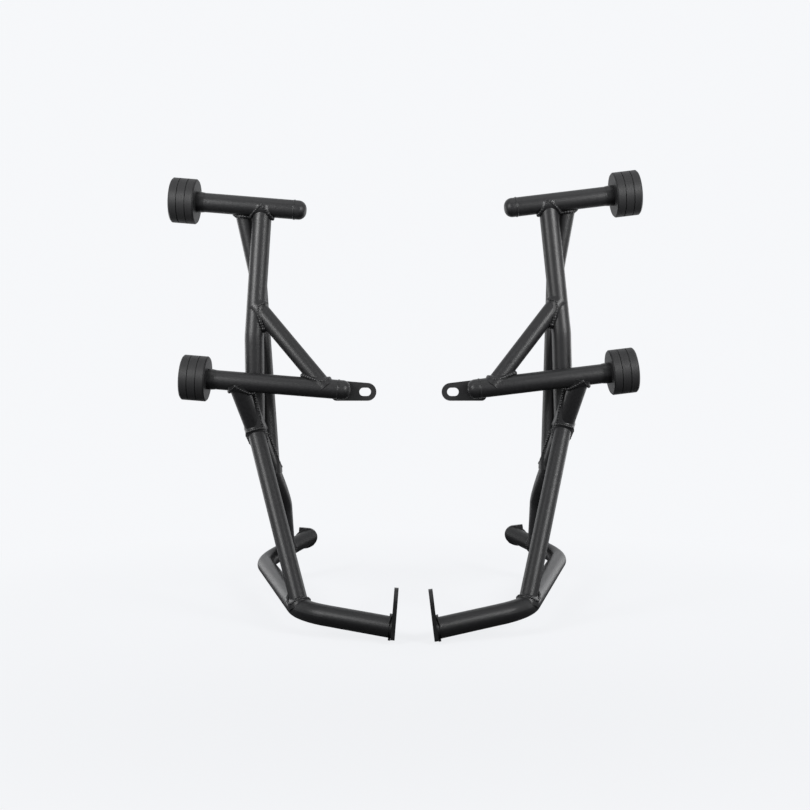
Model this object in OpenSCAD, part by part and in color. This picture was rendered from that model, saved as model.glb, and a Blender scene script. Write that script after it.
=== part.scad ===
/* [Main tubes] */
// Outside diameter of the stubs, the front upright, the sweep tube and the loop
main_od = 25.4; // [24:0.1:28]
// Outside diameter of the brace, the rear upright and the front leg
slim_od = 22.2; // [19:0.1:24]
// Wall of every tube
tube_wall = 2; // [1.5:0.1:3]
// Bend radius of the loop tube, on its centre line
loop_bend = 63.5; // [50:0.5:66]
// Bend radius of the sweep tube and both uprights, on their centre lines
upright_bend = 76; // [50:1:90]
// Leg of every weld bead
weld_leg = 3; // [2:0.1:4]
// Height of the seam round an end cap
seam_height = 0.7; // [0.4:0.1:1]
// Length of the bead between a stub and its collar
collar_weld_len = 5; // [3:0.5:8]

/* [Standing pose] */
// Distance from one tab slot to the other, across the pair
slot_spacing = 116; // [110:1:200]
// Lean of the left bar, its top towards the middle, in degrees
left_lean = 4.6; // [0:0.1:7]
// Lean of the right bar, its top towards the middle, in degrees
right_lean = 6.9; // [0:0.1:7]

/* [Stubs] */
// Height of the top stub above the slot
top_stub_up = 234; // [222:1:250]
// How far the top stub lies behind the slot
top_stub_back = 7; // [4:0.5:12]
// From the slot out to the slider on the top stub
top_stub_reach = 243; // [225:1:280]
// From the slot out to the domed tip of the top stub
top_stub_tip = 97.5; // [70:0.5:120]
// From the slot out to the slider on the middle stub
mid_stub_reach = 205.5; // [198:0.5:240]
// From the slot out to the domed tip of the middle stub
mid_stub_tip = 18.5; // [16:0.5:24]
// Length of a domed end cap
cap_len = 16; // [14:0.5:20]
// Rounding of a domed end cap
cap_round = 10.5; // [6:0.5:11]

/* [Tubes between the stubs] */
// Front upright at the top stub, out from the slot
front_top_out = 156; // [150:0.5:164]
// Front upright where it passes behind the middle stub, out from the slot
front_mid_out = 147.8; // [144:0.2:150]
// Height of the front upright's bend above the slot
front_bend_up = 60; // [50:1:70]
// Height at which the brace leaves the front upright
brace_top_up = 103; // [95:1:120]
// Where the brace meets the middle stub, out from the slot
brace_foot_out = 51; // [42:1:60]
// Rear upright at the top stub, out from the slot
rear_top_out = 185; // [184:0.5:195]
// Rear upright at the top stub, behind that stub's centre line
rear_top_back = 11; // [9.5:0.5:12]
// Rear upright's bend, out from the slot
rear_bend_out = 157.5; // [150:0.5:162]
// Rear upright's bend, behind the slot
rear_bend_back = 35.5; // [35.5:0.5:45]
// Rear upright's bend, above the slot
rear_bend_up = 138; // [120:1:145]

/* [Tubes below the middle stub] */
// Sweep tube at the middle stub, out from the slot
sweep_top_out = 167.5; // [164:0.5:175]
// Sweep tube's bend, out from the slot
sweep_bend_out = 105; // [98:0.5:110]
// Sweep tube's bend, behind the slot
sweep_bend_back = 68; // [60:1:76]
// Sweep tube's bend, below the slot
sweep_bend_down = 158; // [150:1:166]
// How far along the loop's rear leg the sweep tube lands, from bend to flange
sweep_foot_share = 0.52; // [0.45:0.01:0.6]
// Drop below the slot at which the front upright runs into the sweep tube
front_foot_down = 62; // [55:1:68]
// Drop below the slot at which the rear upright lands on the sweep tube
rear_foot_down = 120; // [112:1:126]
// Drop below the slot at which the front leg leaves the sweep tube
leg_top_down = 60; // [56:1:74]
// How far round the loop's front bend the front leg lands
leg_foot_share = 0.7; // [0.5:0.01:0.8]

/* [Loop tube] */
// Front end of the loop, in from the slot
loop_front_in = 61.4; // [55:0.2:66]
// Front end of the loop, in front of the slot
loop_front_fore = 138; // [130:1:150]
// Loop's front bend, out from the slot
loop_bend_out = 52.8; // [48:0.2:60]
// Loop's front bend, in front of the slot
loop_bend_fore = 102; // [96:1:110]
// Loop's rear bend, out from the slot
loop_side_out = 146.5; // [140:0.5:160]
// Loop's rear bend, behind the slot
loop_side_back = 239.5; // [225:0.5:255]
// Level of the loop below the slot
loop_down = 274; // [266:1:290]
// Loop's rear end, out from the slot
loop_rear_out = 88; // [80:0.2:95]
// Loop's rear end, behind the slot
loop_rear_back = 321; // [310:1:330]
// Drop of the loop's front end below its level
loop_front_drop = 3; // [0:0.5:6]
// Rise of the loop's rear end above its level
loop_rear_rise = 32; // [25:1:40]

/* [Mounting plates] */
// Thickness of the slotted tab
tab_thick = 5; // [4:0.5:6]
// Height of the slotted tab
tab_height = 23.6; // [21:0.2:27]
// Length of the slotted tab outwards from the slot
tab_len = 44; // [36:1:50]
// Length of the slotted tab past the slot's centre, to the middle of its round end
tab_nose = 3; // [2:0.5:6]
// Rounding of the slotted tab's lower outer corner
tab_corner = 6; // [3:0.5:9]
// Length of the slot
slot_len = 15.5; // [12:0.5:17]
// Height of the slot
slot_w = 11; // [8.4:0.2:11.6]
// Thickness of the front plate
plate_thick = 5; // [4:0.5:8]
// Width of the front plate
plate_w = 30; // [28:1:36]
// Front plate above the loop tube's centre line
plate_above = 47; // [40:1:52]
// Front plate below the loop tube's centre line
plate_below = 12; // [10:1:22]
// Bolt hole in the front plate
plate_hole = 10.5; // [8.5:0.5:12]
// Thickness of the rear flange
flange_thick = 8; // [6:0.5:12]
// Width of the rear flange
flange_w = 30.6; // [29:0.2:36]
// Tapped hole in the rear flange
flange_hole = 10; // [8:0.5:12]

/* [Sliders] */
// Diameter of a slider
slider_d = 59; // [50:0.5:70]
// Length of a slider
slider_len = 33; // [28:0.5:40]
// Chamfer on both rims of a slider
slider_chamfer = 1.6; // [0.5:0.1:3]
// Width of the two turned grooves
groove_w = 1; // [0.5:0.1:2]
// Depth of the two turned grooves
groove_depth = 1; // [0.5:0.1:2]
// Diameter of the counterbore for the bolt's head
counterbore_d = 25; // [23:0.5:30]
// Depth of the counterbore for the bolt's head
counterbore_depth = 14; // [13:0.5:18]
// How far the collar on an end plug stands proud of its stub, all round
collar_step = 0.9; // [0.7:0.05:2.3]
// Thickness of the collar on a stub's end plug
collar_len = 5; // [3:0.5:8]
// Length of the end plug inside the stub
plug_len = 24; // [20:1:30]
// Thread diameter of the slider bolt
bolt_d = 10; // [8:0.5:10]
// Length of the slider bolt under its head
bolt_len = 42; // [38:1:44]
// Diameter of the bolt's head
head_d = 16; // [14:0.5:18]
// Height of the bolt's head
head_len = 10; // [8:0.5:10]
// Diameter of the washer under the bolt's head
washer_d = 22; // [20:0.5:22.5]
// Thickness of the washer under the bolt's head
washer_thick = 2; // [1.5:0.1:2.5]

/* [Hidden] */
$fn = 96;

// Clearance of the end plug in its tube and of the bolt in its bore
fit_gap = 0.1;
// Clearance of the bolt in the slider and the washer
bolt_gap = 0.5;
// Gap of a coped end from the tube that it lands on, which the weld fills
cope_gap = 0.06;
// Gap between the middle stub and the front upright that passes behind it
pass_gap = 0.2;
// Depth that a bead between equal tubes reaches below the surface
root_depth = 0.4;
// Width of the ring that a cap's seam is cut from
seam_w = 4;
// Margin of the tab's beads from its upper and lower edges
tab_weld_edge = 2;
// How far a cutting shape runs past what it cuts
past = 1;
// A bend stands proud of the straight tube by this much, all round
bend_swell = 0.05;
// How far a straight run reaches into its bend
bend_lap = 0.5;

main_r = main_od / 2;
collar_d = main_od + 2 * collar_step;
slim_r = slim_od / 2;
bolt_r = bolt_d / 2;

// Every point below is in one bar's own frame: X outwards, Y to the rear and Z up,
// from the centre of that bar's tab slot, with both stubs level.
mid_stub_y = -main_r - tab_thick / 2;
top_tip = [top_stub_tip, top_stub_back, top_stub_up];
top_end = [top_stub_reach - collar_len, top_stub_back, top_stub_up];
mid_tip = [mid_stub_tip, mid_stub_y, 0];
mid_end = [mid_stub_reach - collar_len, mid_stub_y, 0];

sweep_top = [sweep_top_out, mid_stub_y, 0];
sweep_bend = [sweep_bend_out, sweep_bend_back, -sweep_bend_down];

loop_front = [
    -loop_front_in + plate_thick / 2,
    -loop_front_fore,
    -loop_down - loop_front_drop
];
loop_corner = [loop_bend_out, -loop_bend_fore, -loop_down];
loop_side = [loop_side_out, loop_side_back, -loop_down];
loop_rear = [loop_rear_out, loop_rear_back, -loop_down + loop_rear_rise];
sweep_foot = between(loop_side, loop_rear, sweep_foot_share);

// The front upright passes just behind the middle stub and runs into the sweep tube.
front_foot = at_height(sweep_top, sweep_bend, -front_foot_down);
pass_by = main_od + pass_gap;
front_lean_back = front_foot[1] - mid_stub_y - pass_by;
front_mid = [
    front_mid_out,
    mid_stub_y + pass_by * norm([front_foot_down, front_lean_back]) / front_foot_down,
    0
];
front_bend = at_height(front_foot, front_mid, front_bend_up);
front_top = [front_top_out, top_stub_back, top_stub_up];

rear_top = [rear_top_out, top_stub_back + rear_top_back, top_stub_up];
rear_bend = [rear_bend_out, rear_bend_back, rear_bend_up];
rear_foot = at_height(sweep_top, sweep_bend, -rear_foot_down);

brace_top = at_height(front_bend, front_top, brace_top_up);
brace_foot = [brace_foot_out, mid_stub_y, 0];

leg_top = at_height(sweep_top, sweep_bend, -leg_top_down);
leg_foot = round_bend(loop_front, loop_corner, loop_side, loop_bend, leg_foot_share);

function unit(v) = v / norm(v);
function between(a, b, share) = a + (b - a) * share;
function at_height(a, b, z) = between(a, b, (z - a[2]) / (b[2] - a[2]));

// Turn at the corner b of a path from a to c, and the length that its bend takes up
function turn(a, b, c) = acos(unit(b - a) * unit(c - b));
function setback(a, b, c, bend) = bend * tan(turn(a, b, c) / 2);
function bend_axis(a, b, c) = unit(cross(b - a, c - b));
function bend_inward(a, b, c) = cross(bend_axis(a, b, c), unit(b - a));
function bend_centre(a, b, c, bend) =
    b - unit(b - a) * setback(a, b, c, bend) + bend_inward(a, b, c) * bend;
// A point on the centre line, a share of the way round the bend at b
function round_bend(a, b, c, bend, share) =
    let (angle = turn(a, b, c) * share)
    bend_centre(a, b, c, bend)
    + bend * (unit(b - a) * sin(angle) - bend_inward(a, b, c) * cos(angle));

// A round bar from a to b, run on at its start and its end
module rod(a, b, r, before = 0, after = 0) {
    d = b - a;
    translate(a)
        rotate([0, acos(d[2] / norm(d)), atan2(d[1], d[0])])
            translate([0, 0, -before])
                cylinder(r = r, h = norm(d) + before + after);
}

// The curved piece of a bar that bends at b on its way from a to c
module elbow(a, b, c, bend, r) {
    across = -bend_inward(a, b, c);
    along = unit(b - a);
    axis = bend_axis(a, b, c);
    centre = bend_centre(a, b, c, bend);
    multmatrix([
        [across[0], along[0], axis[0], centre[0]],
        [across[1], along[1], axis[1], centre[1]],
        [across[2], along[2], axis[2], centre[2]]
    ])
        rotate_extrude(angle = turn(a, b, c))
            translate([bend, 0])
                circle(r = r + bend_swell);
}

// A round bar from a to c with one bend at b
module bent_rod(a, b, c, bend, r, before = 0, after = 0) {
    back = setback(a, b, c, bend);
    rod(a, b - unit(b - a) * back, r, before, bend_lap);
    elbow(a, b, c, bend, r);
    rod(b + unit(c - b) * back, c, r, bend_lap, after);
}

// Solid envelopes of the tubes, grown by a given amount all round
module top_stub_bar(grow = 0) rod(top_tip, top_end, main_r + grow);
module mid_stub_bar(grow = 0) rod(mid_tip, mid_end, main_r + grow);
module front_bar(grow = 0)
    bent_rod(front_top, front_bend, front_foot, upright_bend, main_r + grow);
module rear_bar(grow = 0)
    bent_rod(rear_top, rear_bend, rear_foot, upright_bend, slim_r + grow);
module brace_bar(grow = 0) rod(brace_top, brace_foot, slim_r + grow);
module front_upper_run(grow = 0) rod(front_top, front_bend, main_r + grow);
module rear_upper_run(grow = 0) rod(rear_top, rear_bend, slim_r + grow);
module sweep_bar(grow = 0)
    bent_rod(sweep_top, sweep_bend, sweep_foot, upright_bend, main_r + grow);
// Straight runs of the bent tubes, and the loop's front bend, for the beads
module front_lower_run(grow = 0) rod(front_bend, front_foot, main_r + grow);
module rear_lower_run(grow = 0) rod(rear_bend, rear_foot, slim_r + grow);
module sweep_upper_run(grow = 0) rod(sweep_top, sweep_bend, main_r + grow);
module sweep_lower_run(grow = 0) rod(sweep_bend, sweep_foot, main_r + grow);
module loop_rear_run(grow = 0) rod(loop_side, loop_rear, main_r + grow, 0, past);
module loop_front_run(grow = 0) rod(loop_front, loop_corner, main_r + grow, past);
module loop_front_bend(grow = 0)
    elbow(loop_front, loop_corner, loop_side, loop_bend, main_r + grow);
module leg_bar(grow = 0) rod(leg_top, leg_foot, slim_r + grow);
module loop_bar(grow = 0) {
    front_back = setback(loop_front, loop_corner, loop_side, loop_bend);
    side_back = setback(loop_corner, loop_side, loop_rear, loop_bend);
    side = unit(loop_side - loop_corner);
    rear = unit(loop_rear - loop_side);
    first = unit(loop_corner - loop_front);
    rod(loop_front, loop_corner - first * front_back, main_r + grow, main_od, bend_lap);
    elbow(loop_front, loop_corner, loop_side, loop_bend, main_r + grow);
    rod(
        loop_corner + side * front_back, loop_side - side * side_back,
        main_r + grow, bend_lap, bend_lap
    );
    elbow(loop_corner, loop_side, loop_rear, loop_bend, main_r + grow);
    rod(loop_side + rear * side_back, loop_rear, main_r + grow, bend_lap, main_od);
}

// Everything outside the front plate's outer face and in front of the rear flange
module between_plates()
    translate([loop_front[0], -loop_front_fore - main_od, loop_front[2] - main_od])
        cube([
            loop_side_out + main_od + loop_front_in,
            loop_front_fore + main_od + loop_rear[1],
            loop_front_drop + loop_rear_rise + 2 * main_od
        ]);

module tube_finish() color([0.15, 0.15, 0.16]) children();

module top_stub() tube_finish()
    difference() {
        rod(top_tip + [cap_len, 0, 0], top_end, main_r);
        rod(top_tip, top_end, main_r - tube_wall, 0, past);
    }

module mid_stub() tube_finish()
    difference() {
        rod(mid_tip + [cap_len, 0, 0], mid_end, main_r);
        rod(mid_tip, mid_end, main_r - tube_wall, 0, past);
    }

// A pressed cap, hollow like the tube that it closes
module domed_cap(tip) tube_finish()
    translate(tip)
        rotate([0, 90, 0])
            rotate_extrude()
                difference() {
                    cap_outline(main_r, cap_round, 0);
                    cap_outline(main_r - tube_wall, cap_round - tube_wall, tube_wall);
                }

module cap_outline(r, rounding, start)
    union() {
        translate([0, start + rounding])
            square([r, cap_len - start - rounding + (start > 0 ? past : 0)]);
        translate([0, start])
            square([r - rounding, rounding]);
        intersection() {
            translate([r - rounding, start + rounding])
                circle(r = rounding);
            translate([r - rounding, start])
                square([rounding, rounding]);
        }
    }

module front_upright() tube_finish()
    difference() {
        front_bar();
        front_bar(-tube_wall);
        top_stub_bar(cope_gap);
        sweep_upper_run(cope_gap);
    }

module rear_upright() tube_finish()
    difference() {
        rear_bar();
        rear_bar(-tube_wall);
        top_stub_bar(cope_gap);
        sweep_upper_run(cope_gap);
    }

module brace() tube_finish()
    difference() {
        brace_bar();
        brace_bar(-tube_wall);
        front_upper_run(cope_gap);
        mid_stub_bar(cope_gap);
    }

module sweep_tube() tube_finish()
    difference() {
        sweep_bar();
        sweep_bar(-tube_wall);
        mid_stub_bar(cope_gap);
        loop_rear_run(cope_gap);
    }

module front_leg() tube_finish()
    difference() {
        leg_bar();
        leg_bar(-tube_wall);
        sweep_upper_run(cope_gap);
        loop_front_bend(cope_gap);
    }

module loop_tube() tube_finish()
    intersection() {
        difference() {
            loop_bar();
            loop_bar(-tube_wall);
        }
        between_plates();
    }

// The tab's slot and lower edge are level as the bar stands, so the bar's lean is
// taken out again; its upper edge slopes with the stub
module slot_tab(lean) color([0.14, 0.14, 0.15])
    rotate([0, lean, 0])
        rotate([90, 0, 0])
            translate([0, 0, -tab_thick / 2])
                linear_extrude(tab_thick)
                    difference() {
                        tab_outline(lean);
                        slot_outline();
                    }

module tab_outline(lean) {
    r = tab_height / 2;
    tangent = [-tab_nose - r * sin(lean), r * cos(lean)];
    translate([-tab_nose, 0])
        circle(r = r);
    translate([tab_len - tab_corner, -r + tab_corner])
        circle(r = tab_corner);
    polygon([
        [-tab_nose, 0],
        [-tab_nose, -r],
        [tab_len - tab_corner, -r],
        [tab_len - tab_corner, -r + tab_corner],
        [tab_len, -r + tab_corner],
        [tab_len, tangent[1] + (tab_len - tangent[0]) * tan(lean)],
        tangent
    ]);
}

module slot_outline() {
    reach = (slot_len - slot_w) / 2;
    translate([-reach, -slot_w / 2])
        square([2 * reach, slot_w]);
    translate([-reach, 0])
        circle(d = slot_w);
    translate([reach, 0])
        circle(d = slot_w);
}

// Seen along X: a strip with a half-round top, its bolt hole above the tube
module front_plate() color([0.14, 0.14, 0.15])
    translate(loop_front - [plate_thick, 0, 0])
        rotate([90, 0, 90])
            linear_extrude(plate_thick)
                difference() {
                    union() {
                        translate([-plate_w / 2, -plate_below])
                            square([plate_w, plate_above + plate_below - plate_w / 2]);
                        translate([0, plate_above - plate_w / 2])
                            circle(d = plate_w);
                    }
                    translate([0, plate_above - plate_w / 2])
                        circle(d = plate_hole);
                }

// Half round towards the middle and square outwards, with a tapped hole
module rear_flange() color([0.12, 0.12, 0.13])
    translate(loop_rear)
        rotate([-90, 0, 0])
            linear_extrude(flange_thick)
                difference() {
                    union() {
                        circle(d = flange_w);
                        translate([0, -flange_w / 2])
                            square([flange_w / 2, flange_w]);
                    }
                    circle(d = flange_hole);
                }

// A turned plug: a collar that the slider sits on, and a tapped body in the tube
module end_plug(end) color([0.1, 0.1, 0.11])
    translate(end)
        rotate([0, 90, 0])
            difference() {
                union() {
                    cylinder(d = collar_d, h = collar_len);
                    translate([0, 0, -plug_len])
                        cylinder(r = main_r - tube_wall - fit_gap, h = plug_len + past);
                }
                translate([0, 0, -plug_len - past])
                    cylinder(r = bolt_r, h = plug_len + collar_len + 2 * past);
            }

// Turned from one bar of nylon, with two grooves that part its side in thirds
module slider(end) color([0.2, 0.2, 0.21])
    translate(end + [collar_len, 0, 0])
        rotate([0, 90, 0])
            rotate_extrude()
                difference() {
                    slider_outline();
                    translate([0, -past])
                        square([bolt_r + bolt_gap, slider_len + 2 * past]);
                    translate([0, slider_len - counterbore_depth])
                        square([counterbore_d / 2, counterbore_depth + past]);
                    for (third = [1, 2])
                        translate([
                            slider_d / 2 - groove_depth,
                            slider_len * third / 3 - groove_w / 2
                        ])
                            square([groove_depth + past, groove_w]);
                }

module slider_outline()
    polygon([
        [0, 0],
        [slider_d / 2 - slider_chamfer, 0],
        [slider_d / 2, slider_chamfer],
        [slider_d / 2, slider_len - slider_chamfer],
        [slider_d / 2 - slider_chamfer, slider_len],
        [0, slider_len]
    ]);

// Distance from the stub's end to the seat of the washer
washer_seat = collar_len + slider_len - counterbore_depth;

module slider_washer(end) color([0.62, 0.62, 0.63])
    translate(end + [washer_seat, 0, 0])
        rotate([0, 90, 0])
            difference() {
                cylinder(d = washer_d, h = washer_thick);
                translate([0, 0, -past])
                    cylinder(r = bolt_r + bolt_gap, h = washer_thick + 2 * past);
            }

// A socket-head screw, its head on the washer
module slider_bolt(end) color([0.3, 0.3, 0.31])
    translate(end + [washer_seat + washer_thick, 0, 0])
        rotate([0, 90, 0])
            difference() {
                union() {
                    translate([0, 0, -bolt_len])
                        cylinder(r = bolt_r - fit_gap, h = bolt_len + past);
                    cylinder(d = head_d, h = head_len);
                }
                translate([0, 0, head_len / 2])
                    cylinder(d = head_d / 2, h = head_len, $fn = 6);
            }

// The bead in the corner between two tubes: what lies within one leg of both,
// less the tubes themselves
module bead()
    difference() {
        intersection() {
            children(0);
            children(1);
        }
        children([2:$children - 1]);
    }

// Where two tubes have one diameter and their axes cross, the bead keeps a thin root
// inside the second tube, so that it stays one closed ring
module front_upright_welds() tube_finish() {
    bead() {
        top_stub_bar(weld_leg);
        front_upper_run(weld_leg - root_depth);
        top_stub_bar();
        front_upper_run(-root_depth);
    }
    bead() {
        mid_stub_bar(weld_leg);
        front_lower_run(weld_leg);
        mid_stub_bar();
        front_lower_run();
        sweep_upper_run();
    }
}

module front_foot_weld() tube_finish()
    bead() {
        sweep_upper_run(weld_leg);
        front_lower_run(weld_leg - root_depth);
        sweep_upper_run();
        front_lower_run(-root_depth);
        mid_stub_bar();
        leg_bar();
    }

module rear_top_weld() tube_finish()
    bead() {
        top_stub_bar(weld_leg);
        rear_upper_run(weld_leg);
        top_stub_bar();
        rear_upper_run();
    }

module rear_foot_weld() tube_finish()
    bead() {
        sweep_upper_run(weld_leg);
        rear_lower_run(weld_leg);
        sweep_upper_run();
        rear_lower_run();
    }

module brace_welds() tube_finish() {
    bead() {
        front_upper_run(weld_leg);
        brace_bar(weld_leg);
        front_upper_run();
        brace_bar();
    }
    bead() {
        mid_stub_bar(weld_leg);
        brace_bar(weld_leg);
        mid_stub_bar();
        brace_bar();
    }
}

module sweep_welds() tube_finish() {
    bead() {
        mid_stub_bar(weld_leg);
        sweep_upper_run(weld_leg);
        mid_stub_bar();
        sweep_upper_run();
        front_lower_run();
    }
    bead() {
        loop_rear_run(weld_leg);
        sweep_lower_run(weld_leg - root_depth);
        loop_rear_run();
        sweep_lower_run(-root_depth);
    }
}

module leg_welds() tube_finish() {
    bead() {
        sweep_upper_run(weld_leg);
        leg_bar(weld_leg);
        sweep_upper_run();
        leg_bar();
        front_lower_run();
    }
    bead() {
        loop_front_bend(weld_leg);
        leg_bar(weld_leg);
        loop_front_bend();
        leg_bar();
    }
}

// Beads round the loop's two ends, and along the middle stub on the face of the tab
module plate_welds() tube_finish() {
    difference() {
        intersection() {
            loop_front_run(weld_leg);
            translate(loop_front - [0, main_od, main_od])
                cube([weld_leg, 2 * main_od, 2 * main_od]);
        }
        loop_front_run();
    }
    difference() {
        intersection() {
            loop_rear_run(weld_leg);
            translate(loop_rear - [main_od, weld_leg, main_od])
                cube([2 * main_od, weld_leg, 2 * main_od]);
        }
        loop_rear_run();
    }
    difference() {
        intersection() {
            mid_stub_bar(weld_leg);
            translate([
                mid_tip[0] + cap_len,
                -tab_thick / 2 - weld_leg,
                tab_weld_edge - tab_height / 2
            ])
                cube([
                    tab_len - mid_tip[0] - cap_len - weld_leg,
                    weld_leg,
                    tab_height - 2 * tab_weld_edge
                ]);
        }
        mid_stub_bar();
    }
}

// A low seam round each cap, and a sloping bead from each stub up to its collar
module end_welds() tube_finish() {
    cap_seam(top_tip);
    cap_seam(mid_tip);
    collar_weld(top_end);
    collar_weld(mid_end);
}

module cap_seam(tip)
    translate(tip + [cap_len, 0, 0])
        rotate([0, 90, 0])
            rotate_extrude()
                difference() {
                    translate([main_r + seam_height - seam_w / 2, 0])
                        circle(d = seam_w);
                    translate([0, -seam_w])
                        square([main_r, 2 * seam_w]);
                }

module collar_weld(end)
    translate(end)
        rotate([0, -90, 0])
            difference() {
                cylinder(r1 = collar_d / 2, r2 = main_r + past / 4, h = collar_weld_len);
                translate([0, 0, -past])
                    cylinder(r = main_r, h = collar_weld_len + 2 * past);
            }

// Stands a bar on its side of the pair, leaning in at the top
module stand(side, lean)
    mirror([side < 0 ? 1 : 0, 0, 0])
        translate([slot_spacing / 2, 0, 0])
            rotate([0, -lean, 0])
                children();

module left() stand(-1, left_lean) children();
module right() stand(1, right_lean) children();

left() top_stub();  // left_top_stub
left() domed_cap(top_tip);  // left_top_cap
left() mid_stub();  // left_mid_stub
left() domed_cap(mid_tip);  // left_mid_cap
left() front_upright();  // left_front_upright
left() rear_upright();  // left_rear_upright
left() brace();  // left_brace
left() sweep_tube();  // left_sweep_tube
left() front_leg();  // left_front_leg
left() loop_tube();  // left_loop_tube
left() slot_tab(left_lean);  // left_slot_tab
left() front_plate();  // left_front_plate
left() rear_flange();  // left_rear_flange
left() end_plug(top_end);  // left_top_end_plug
left() end_plug(mid_end);  // left_mid_end_plug
left() slider(top_end);  // left_top_slider
left() slider(mid_end);  // left_mid_slider
left() {  // left_slider_bolts
    slider_bolt(top_end);
    slider_bolt(mid_end);
}
left() {  // left_slider_washers
    slider_washer(top_end);
    slider_washer(mid_end);
}
left() front_upright_welds();  // left_front_upright_welds
left() front_foot_weld();  // left_front_foot_weld
left() rear_top_weld();  // left_rear_top_weld
left() rear_foot_weld();  // left_rear_foot_weld
left() brace_welds();  // left_brace_welds
left() sweep_welds();  // left_sweep_welds
left() leg_welds();  // left_leg_welds
left() plate_welds();  // left_plate_welds
left() end_welds();  // left_end_welds
right() top_stub();  // right_top_stub
right() domed_cap(top_tip);  // right_top_cap
right() mid_stub();  // right_mid_stub
right() domed_cap(mid_tip);  // right_mid_cap
right() front_upright();  // right_front_upright
right() rear_upright();  // right_rear_upright
right() brace();  // right_brace
right() sweep_tube();  // right_sweep_tube
right() front_leg();  // right_front_leg
right() loop_tube();  // right_loop_tube
right() slot_tab(right_lean);  // right_slot_tab
right() front_plate();  // right_front_plate
right() rear_flange();  // right_rear_flange
right() end_plug(top_end);  // right_top_end_plug
right() end_plug(mid_end);  // right_mid_end_plug
right() slider(top_end);  // right_top_slider
right() slider(mid_end);  // right_mid_slider
right() {  // right_slider_bolts
    slider_bolt(top_end);
    slider_bolt(mid_end);
}
right() {  // right_slider_washers
    slider_washer(top_end);
    slider_washer(mid_end);
}
right() front_upright_welds();  // right_front_upright_welds
right() front_foot_weld();  // right_front_foot_weld
right() rear_top_weld();  // right_rear_top_weld
right() rear_foot_weld();  // right_rear_foot_weld
right() brace_welds();  // right_brace_welds
right() sweep_welds();  // right_sweep_welds
right() leg_welds();  // right_leg_welds
right() plate_welds();  // right_plate_welds
right() end_welds();  // right_end_welds
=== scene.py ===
import math

import bmesh
import bpy
from mathutils import Matrix, Vector


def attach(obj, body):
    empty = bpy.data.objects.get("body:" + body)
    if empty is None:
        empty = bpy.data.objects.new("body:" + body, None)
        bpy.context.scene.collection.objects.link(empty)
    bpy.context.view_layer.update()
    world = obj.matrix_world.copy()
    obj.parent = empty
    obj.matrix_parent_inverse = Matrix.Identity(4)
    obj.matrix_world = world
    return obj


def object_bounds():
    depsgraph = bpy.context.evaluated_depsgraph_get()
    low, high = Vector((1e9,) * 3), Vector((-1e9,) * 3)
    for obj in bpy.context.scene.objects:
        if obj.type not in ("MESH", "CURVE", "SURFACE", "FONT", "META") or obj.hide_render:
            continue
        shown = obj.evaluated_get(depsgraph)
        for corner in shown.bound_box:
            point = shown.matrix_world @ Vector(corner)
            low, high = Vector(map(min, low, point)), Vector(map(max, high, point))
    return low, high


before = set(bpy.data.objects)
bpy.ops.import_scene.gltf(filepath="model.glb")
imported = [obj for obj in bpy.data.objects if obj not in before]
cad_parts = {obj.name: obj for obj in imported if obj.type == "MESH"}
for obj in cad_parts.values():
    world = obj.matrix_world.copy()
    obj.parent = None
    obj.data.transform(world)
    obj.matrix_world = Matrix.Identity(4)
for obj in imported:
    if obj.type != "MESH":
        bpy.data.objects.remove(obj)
cad_low, cad_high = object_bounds()


# Powder coat
# Every tube, cap, tab, plate and flange is mild steel, welded up and then coated in
# one go: a satin black with the fine orange-peel grain that baked powder leaves.
def powder_coat(name, colour, roughness, grain):
    mat = bpy.data.materials.new(name)
    mat.use_nodes = True
    nodes, links = mat.node_tree.nodes, mat.node_tree.links
    shader = nodes["Principled BSDF"]
    where = nodes.new("ShaderNodeTexCoord")

    mottle = nodes.new("ShaderNodeTexNoise")
    mottle.inputs["Scale"].default_value = 260
    mottle.inputs["Detail"].default_value = 5
    links.new(where.outputs["Object"], mottle.inputs["Vector"])
    tint = nodes.new("ShaderNodeValToRGB")
    tint.color_ramp.elements[0].position = 0.3
    tint.color_ramp.elements[0].color = [c * 0.82 for c in colour] + [1]
    tint.color_ramp.elements[1].position = 0.75
    tint.color_ramp.elements[1].color = [c * 1.25 for c in colour] + [1]
    links.new(mottle.outputs["Fac"], tint.inputs["Fac"])
    links.new(tint.outputs["Color"], shader.inputs["Base Color"])

    spread = nodes.new("ShaderNodeMapRange")
    spread.inputs["To Min"].default_value = roughness - 0.05
    spread.inputs["To Max"].default_value = roughness + 0.06
    links.new(mottle.outputs["Fac"], spread.inputs["Value"])
    links.new(spread.outputs["Result"], shader.inputs["Roughness"])

    peel = nodes.new("ShaderNodeTexNoise")
    peel.inputs["Scale"].default_value = 340
    peel.inputs["Detail"].default_value = 6
    peel.inputs["Roughness"].default_value = 0.7
    links.new(where.outputs["Object"], peel.inputs["Vector"])
    relief = nodes.new("ShaderNodeBump")
    relief.inputs["Strength"].default_value = grain
    relief.inputs["Distance"].default_value = 0.0004
    links.new(peel.outputs["Fac"], relief.inputs["Height"])
    links.new(relief.outputs["Normal"], shader.inputs["Normal"])
    shader.inputs["Specular IOR Level"].default_value = 0.28
    return mat


tube_coat = powder_coat("satin black powder coat", (0.009, 0.009, 0.0095), 0.39, 0.6)
# the plates, the tab and the end plugs are coloured a little darker than the tubes: painted shade
# for the shadow that the tab and the necks of the plugs sit in
plate_coat_with_painted_shade = powder_coat("powder coat on plate, darker as painted shade", (0.007, 0.007, 0.0075), 0.4, 0.5)
bead_coat = powder_coat("powder coat over weld", (0.009, 0.009, 0.0095), 0.34, 0.5)

TUBES = ("top_stub", "top_cap", "mid_stub", "mid_cap", "front_upright", "rear_upright",
         "brace", "sweep_tube", "front_leg", "loop_tube")
PLATES = ("slot_tab", "front_plate", "rear_flange", "top_end_plug", "mid_end_plug")


def dress(node, mat):
    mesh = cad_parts[node].data
    mesh.materials.clear()
    mesh.materials.append(mat)


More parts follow.
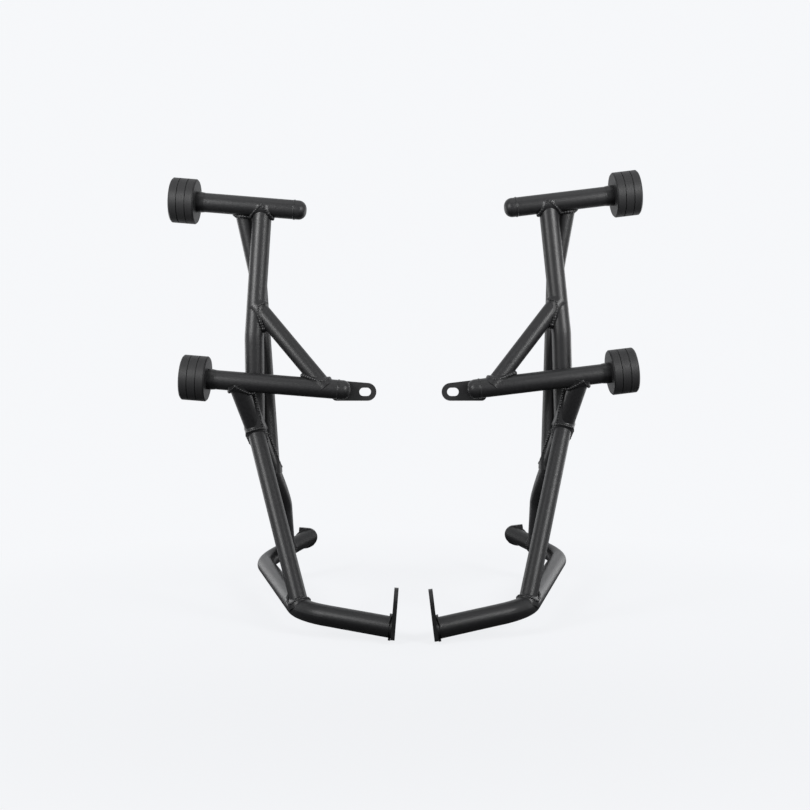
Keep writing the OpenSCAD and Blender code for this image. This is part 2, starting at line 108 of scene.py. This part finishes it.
for side in ("left", "right"):
    for piece in TUBES:
        dress(f"{side}_{piece}", tube_coat)
    for piece in PLATES:
        dress(f"{side}_{piece}", plate_coat_with_painted_shade)


# Weld beads
# Each tube is coped to the tube it lands on and welded all the way round by hand, so
# the bead is a row of overlapping ripples that follows the saddle; the coat covers it.
MM = 0.001
# the slots' distance from the middle of the pair, and for each bar its side and its lean
SLOT_OUT = 58
LEANS = {"left": (-1, 4.6), "right": (1, 6.9)}
# outer radii of the two kinds of tube
THICK, SLIM = 12.7, 11.1
# side of the fillet, and how far the ripples stand proud of it
WELD_LEG, PROUD = 3.2, 0.3
# from ripple to ripple, half the length of one, and a gap that only a jump to the next stretch makes
PITCH = 3.6 * MM
RIPPLE_HALF = 0.9 * PITCH
JUMP = 4 * MM


def stand(point, side):
    """A point of one bar, in mm out, back and up from its slot, as a place in metres."""
    sign, lean = LEANS[side]
    turn = math.radians(lean)
    x, y, z = point
    out = SLOT_OUT + x * math.cos(turn) - z * math.sin(turn)
    return Vector((sign * out, y, x * math.sin(turn) + z * math.cos(turn))) * MM


def saddle(run, run_r, tube, tube_r, steps=240):
    """The bead where a tube lands on a run: its centre and half-width, point by point."""
    a, b = (Vector(p) for p in run)
    along = (b - a).normalized()
    start, end = (Vector(p) for p in tube)
    aim = (end - start).normalized()
    side = aim.cross(along).normalized()
    other = aim.cross(side)
    half = WELD_LEG / 2
    points = []
    for i in range(steps + 1):
        turn = 2 * math.pi * i / steps
        out = side * math.cos(turn) + other * math.sin(turn)
        # a line along the tube, half a leg off its surface, and where it comes as near the run
        p = start + out * (tube_r + half)
        w = (p - a) - along * (p - a).dot(along)
        v = aim - along * aim.dot(along)
        qa, qb, qc = v.dot(v), 2 * w.dot(v), w.dot(w) - (run_r + half) ** 2
        inside = qb * qb - 4 * qa * qc
        if inside <= 0:
            continue
        p = p + aim * ((-qb - math.sqrt(inside)) / (2 * qa))
        up = ((p - a) - along * (p - a).dot(along)).normalized()
        # the sharper the corner between the two tubes, the wider the bead that fills it
        points.append((p, half * math.sqrt(2 / (1 + max(up.dot(out), -0.5))) + PROUD))
    return points


def ripples(bm, points, side):
    """Lays overlapping ripples along a row of points, none of them quite alike."""
    row = [(stand(p, side), reach) for p, reach in points]
    spare, count = 0.0, 0
    for (p, reach), (q, _) in zip(row, row[1:]):
        step = (q - p).length
        if step == 0 or step > JUMP:
            continue
        ahead = (q - p).normalized()
        turned = ahead.to_track_quat("X", "Z").to_matrix().to_4x4()
        while spare < step:
            swell = 1 + 0.09 * math.sin(count * 2.4) + 0.08 * math.sin(count * 0.9)
            size = Matrix.Diagonal((RIPPLE_HALF, reach * swell * MM, reach * swell * MM, 1))
            bmesh.ops.create_icosphere(bm, subdivisions=3, radius=1,
                                       matrix=Matrix.Translation(p + ahead * spare) @ turned @ size)
            spare += PITCH
            count += 1
        spare -= step


# centre lines of the straight stretches, in mm from the slot
top_stub = ((97.5, 7, 234), (243, 7, 234))
mid_stub = ((18.5, -15.2, 0), (205.5, -15.2, 0))
sweep_upper = ((167.5, -15.2, 0), (105, 68, -158))
sweep_lower = ((105, 68, -158), (116.08, 281.88, -257.36))
front_upper = ((156, 7, 234), (152.47, 3.9, 60))
front_lower = ((152.47, 3.9, 60), (142.97, 17.45, -62))
rear_upper = ((185, 18, 234), (157.5, 35.5, 138))
rear_lower = ((157.5, 35.5, 138), (120.03, 47.99, -120))
brace = ((153.34, 4.67, 103), (51, -15.2, 0))
front_leg = ((143.77, 16.39, -60), (54.27, -86.09, -274.09))
loop_bend = ((38.2, -111.4, -274), (70.4, -60.8, -274.2))
loop_rear = ((146.5, 239.5, -274), (88, 321, -242))
WELDS = ("front_upright_welds", "front_foot_weld", "rear_top_weld", "rear_foot_weld",
         "brace_welds", "sweep_welds", "leg_welds", "plate_welds", "end_welds")
# each run, and the tube that lands on it, from its far end
JOINTS = (
    (top_stub, THICK, front_upper[::-1], THICK),
    (top_stub, THICK, rear_upper[::-1], SLIM),
    (front_upper, THICK, brace[::-1], SLIM),
    (mid_stub, THICK, brace, SLIM),
    (mid_stub, THICK, front_lower, THICK),
    (mid_stub, THICK, front_lower[::-1], THICK),
    (mid_stub, THICK, sweep_upper[::-1], THICK),
    (sweep_upper, THICK, front_lower, THICK),
    (sweep_upper, THICK, rear_lower, SLIM),
    (sweep_upper, THICK, front_leg[::-1], SLIM),
    (loop_bend, THICK, front_leg, SLIM),
    (loop_rear, THICK, sweep_lower, THICK),
)

one_bead = bpy.data.meshes.new("one bead")
for side in LEANS:
    whole = bmesh.new()
    for joint in JOINTS:
        bm = bmesh.new()
        ripples(bm, saddle(*joint), side)
        bm.to_mesh(one_bead)
        bm.free()
        whole.from_mesh(one_bead)
    mesh = bpy.data.meshes.new(f"{side}_weld_beads")
    whole.to_mesh(mesh)
    whole.free()
    mesh.shade_smooth()
    mesh.materials.append(bead_coat)
    beads = bpy.data.objects.new(f"{side}_weld_beads", mesh)
    bpy.context.scene.collection.objects.link(beads)
    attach(beads, "root")
    for weld in WELDS:
        dress(f"{side}_{weld}", bead_coat)
bpy.data.meshes.remove(one_bead)


# Sliders
# Pucks turned from black nylon bar, each bolted to the end of its stub. The tool leaves
# fine rings on the side and the faces, and the dull plastic greys a little where it is cut.
def nylon(name, centre, lean):
    mat = bpy.data.materials.new(name)
    mat.use_nodes = True
    nodes, links = mat.node_tree.nodes, mat.node_tree.links
    shader = nodes["Principled BSDF"]
    where = nodes.new("ShaderNodeTexCoord")
    # brings the slider's axis onto X, with its outer face at zero
    place = nodes.new("ShaderNodeMapping")
    place.vector_type = "TEXTURE"
    place.inputs["Location"].default_value = centre
    place.inputs["Rotation"].default_value = (0, lean, 0)
    links.new(where.outputs["Object"], place.inputs["Vector"])
    split = nodes.new("ShaderNodeSeparateXYZ")
    links.new(place.outputs["Vector"], split.inputs["Vector"])

    squares = []
    for axis in "YZ":
        square = nodes.new("ShaderNodeMath")
        square.operation = "MULTIPLY"
        links.new(split.outputs[axis], square.inputs[0])
        links.new(split.outputs[axis], square.inputs[1])
        squares.append(square)
    total = nodes.new("ShaderNodeMath")
    total.operation = "ADD"
    links.new(squares[0].outputs[0], total.inputs[0])
    links.new(squares[1].outputs[0], total.inputs[1])
    radius = nodes.new("ShaderNodeMath")
    radius.operation = "SQRT"
    links.new(total.outputs[0], radius.inputs[0])
    lines = nodes.new("ShaderNodeMath")
    lines.operation = "ADD"
    links.new(split.outputs["X"], lines.inputs[0])
    links.new(radius.outputs[0], lines.inputs[1])
    rings = nodes.new("ShaderNodeTexNoise")
    rings.noise_dimensions = "1D"
    rings.inputs["Scale"].default_value = 1500
    rings.inputs["Detail"].default_value = 3
    links.new(lines.outputs[0], rings.inputs["W"])
    relief = nodes.new("ShaderNodeBump")
    relief.inputs["Strength"].default_value = 0.35
    relief.inputs["Distance"].default_value = 0.0003
    links.new(rings.outputs["Fac"], relief.inputs["Height"])
    links.new(relief.outputs["Normal"], shader.inputs["Normal"])

    tint = nodes.new("ShaderNodeValToRGB")
    tint.color_ramp.elements[0].position = 0.3
    tint.color_ramp.elements[0].color = (0.0105, 0.0105, 0.011, 1)
    tint.color_ramp.elements[1].position = 0.75
    tint.color_ramp.elements[1].color = (0.018, 0.018, 0.0185, 1)
    links.new(rings.outputs["Fac"], tint.inputs["Fac"])
    links.new(tint.outputs["Color"], shader.inputs["Base Color"])
    shader.inputs["Roughness"].default_value = 0.5
    shader.inputs["Specular IOR Level"].default_value = 0.22
    return mat


SLIDERS = {"top_slider": (243, 7, 234), "mid_slider": (205.5, -15.2, 0)}
for side, (sign, lean) in LEANS.items():
    for piece, foot in SLIDERS.items():
        mat = nylon(f"turned nylon {side} {piece}", stand(foot, side), -sign * math.radians(lean))
        dress(f"{side}_{piece}", mat)


# Bolts and washers
# A black socket-head screw and a plated washer hold each slider, sunk in its
# counterbore.
def steel(name, colour, roughness):
    mat = bpy.data.materials.new(name)
    mat.use_nodes = True
    nodes, links = mat.node_tree.nodes, mat.node_tree.links
    shader = nodes["Principled BSDF"]
    shader.inputs["Metallic"].default_value = 0.9
    where = nodes.new("ShaderNodeTexCoord")
    cloud = nodes.new("ShaderNodeTexNoise")
    cloud.inputs["Scale"].default_value = 420
    cloud.inputs["Detail"].default_value = 4
    links.new(where.outputs["Object"], cloud.inputs["Vector"])
    tint = nodes.new("ShaderNodeValToRGB")
    tint.color_ramp.elements[0].color = [c * 0.8 for c in colour] + [1]
    tint.color_ramp.elements[1].color = [c * 1.15 for c in colour] + [1]
    links.new(cloud.outputs["Fac"], tint.inputs["Fac"])
    links.new(tint.outputs["Color"], shader.inputs["Base Color"])
    spread = nodes.new("ShaderNodeMapRange")
    spread.inputs["To Min"].default_value = roughness - 0.08
    spread.inputs["To Max"].default_value = roughness + 0.08
    links.new(cloud.outputs["Fac"], spread.inputs["Value"])
    links.new(spread.outputs["Result"], shader.inputs["Roughness"])
    return mat


black_steel = steel("black oxide steel", (0.09, 0.09, 0.095), 0.42)
plated_steel = steel("zinc plate", (0.62, 0.63, 0.65), 0.3)
for side in LEANS:
    dress(f"{side}_slider_bolts", black_steel)
    dress(f"{side}_slider_washers", plated_steel)


# Floor and backdrop
# A sheet of pale studio paper, laid 1 mm under the lowest tube and lit so that it runs
# on into the backdrop.
PALE = (0.925, 0.935, 0.955, 1)
SHOWN_RAYS = ("Is Camera Ray", "Is Transmission Ray")
FLOOR_HALF = 14
bm = bmesh.new()
bmesh.ops.create_grid(bm, x_segments=1, y_segments=1, size=FLOOR_HALF)
bmesh.ops.translate(bm, vec=(0, 0, cad_low.z - 0.001), verts=bm.verts)
floor_mesh = bpy.data.meshes.new("floor")
bm.to_mesh(floor_mesh)
bm.free()
floor = bpy.data.objects.new("floor", floor_mesh)
bpy.context.scene.collection.objects.link(floor)


def seen(tree, rays):
    """1 for the rays named, 0 for all others."""
    path = tree.nodes.new("ShaderNodeLightPath")
    last = path.outputs[rays[0]]
    for ray in rays[1:]:
        either = tree.nodes.new("ShaderNodeMath")
        either.operation = "MAXIMUM"
        tree.links.new(last, either.inputs[0])
        tree.links.new(path.outputs[ray], either.inputs[1])
        last = either.outputs[0]
    return last


# the floor sends little light up under the tubes, though it is seen pale
paper = bpy.data.materials.new("pale floor")
paper.use_nodes = True
tree = paper.node_tree
tree.nodes.clear()
shade = tree.nodes.new("ShaderNodeMix")
shade.data_type = "RGBA"
shade.inputs["A"].default_value = (0.12, 0.12, 0.125, 1)
shade.inputs["B"].default_value = (0.8, 0.81, 0.83, 1)
tree.links.new(seen(tree, SHOWN_RAYS), shade.inputs["Factor"])
diffuse = tree.nodes.new("ShaderNodeBsdfDiffuse")
tree.links.new(shade.outputs["Result"], diffuse.inputs["Color"])
glow = tree.nodes.new("ShaderNodeEmission")
glow.inputs["Color"].default_value = PALE
# the glow takes over away from the object, so the floor runs on into the backdrop
where = tree.nodes.new("ShaderNodeTexCoord")
reach = tree.nodes.new("ShaderNodeVectorMath")
reach.operation = "LENGTH"
tree.links.new(where.outputs["Object"], reach.inputs[0])
shares = []
# its share near the object, and the distances in metres between which it grows to the whole
for rays, near, start, end in ((SHOWN_RAYS, 0.86, 0.3, 1), (("Is Glossy Ray",), 0, 0.5, 1.1)):
    fade = tree.nodes.new("ShaderNodeMapRange")
    fade.interpolation_type = "SMOOTHSTEP"
    fade.inputs["From Min"].default_value = start
    fade.inputs["From Max"].default_value = end
    fade.inputs["To Min"].default_value = near
    tree.links.new(reach.outputs["Value"], fade.inputs["Value"])
    part = tree.nodes.new("ShaderNodeMath")
    part.operation = "MULTIPLY"
    tree.links.new(seen(tree, rays), part.inputs[0])
    tree.links.new(fade.outputs["Result"], part.inputs[1])
    shares.append(part)
share = tree.nodes.new("ShaderNodeMath")
share.operation = "MAXIMUM"
tree.links.new(shares[0].outputs[0], share.inputs[0])
tree.links.new(shares[1].outputs[0], share.inputs[1])
mix = tree.nodes.new("ShaderNodeMixShader")
tree.links.new(share.outputs[0], mix.inputs[0])
tree.links.new(diffuse.outputs[0], mix.inputs[1])
tree.links.new(glow.outputs[0], mix.inputs[2])
out = tree.nodes.new("ShaderNodeOutputMaterial")
tree.links.new(mix.outputs[0], out.inputs["Surface"])
floor_mesh.materials.append(paper)

# the backdrop is seen pale, also in the metal, and lights the object only dimly
world = bpy.data.worlds.new("studio")
bpy.context.scene.world = world
world.use_nodes = True
tree = world.node_tree
tree.nodes.clear()
shown = tree.nodes.new("ShaderNodeBackground")
shown.inputs["Color"].default_value = PALE
fill = tree.nodes.new("ShaderNodeBackground")
fill.inputs["Color"].default_value = (0.95, 0.97, 1, 1)
fill.inputs["Strength"].default_value = 0.35
mix = tree.nodes.new("ShaderNodeMixShader")
tree.links.new(seen(tree, SHOWN_RAYS + ("Is Glossy Ray",)), mix.inputs[0])
tree.links.new(fill.outputs[0], mix.inputs[1])
tree.links.new(shown.outputs[0], mix.inputs[2])
out = tree.nodes.new("ShaderNodeOutputWorld")
tree.links.new(mix.outputs[0], out.inputs["Surface"])


# Lamps
# A broad softbox overhead, an upright one at each side in front, its beam narrowed
# towards its own bar, and a wide, dim panel at each side behind.
def softbox(name, place, aim, width, height, power, spread=180):
    lamp = bpy.data.lights.new(name, "AREA")
    lamp.shape = "RECTANGLE"
    lamp.size, lamp.size_y = width, height
    lamp.energy = power
    lamp.spread = math.radians(spread)
    box = bpy.data.objects.new(name, lamp)
    box.location = place
    box.rotation_euler = (Vector(aim) - Vector(place)).to_track_quat("-Z", "Y").to_euler()
    bpy.context.scene.collection.objects.link(box)


softbox("overhead softbox", (0, -0.5, 1.6), (0, 0, 0), 1.4, 0.8, 4)
softbox("left softbox", (-0.8, -0.8, 0.42), (-0.3, 0, 0.2), 0.36, 0.5, 3.4, 80)
softbox("right softbox", (0.8, -0.8, 0.42), (0.3, 0, 0.2), 0.36, 0.5, 3.4, 80)
softbox("left rear panel", (-1.3, 1.05, 0.1), (0, 0.1, -0.1), 0.7, 0.8, 4.5)
softbox("right rear panel", (1.3, 1.05, 0.1), (0, 0.1, -0.1), 0.7, 0.8, 4.5)


# Camera
# Almost level, 1.3 m in front of the slots and a little below them. Its place was fitted
# to points of both bars at once.
lens = bpy.data.cameras.new("camera")
lens.lens = 44.44
lens.sensor_width = 36
lens.clip_start = 0.05
camera = bpy.data.objects.new("camera", lens)
camera.location = (-0.0053, -1.322, -0.022)
camera.rotation_euler = (math.radians(90.2), 0, 0)
bpy.context.scene.collection.objects.link(camera)
bpy.context.scene.camera = camera

bpy.context.scene.view_settings.view_transform = "Standard"
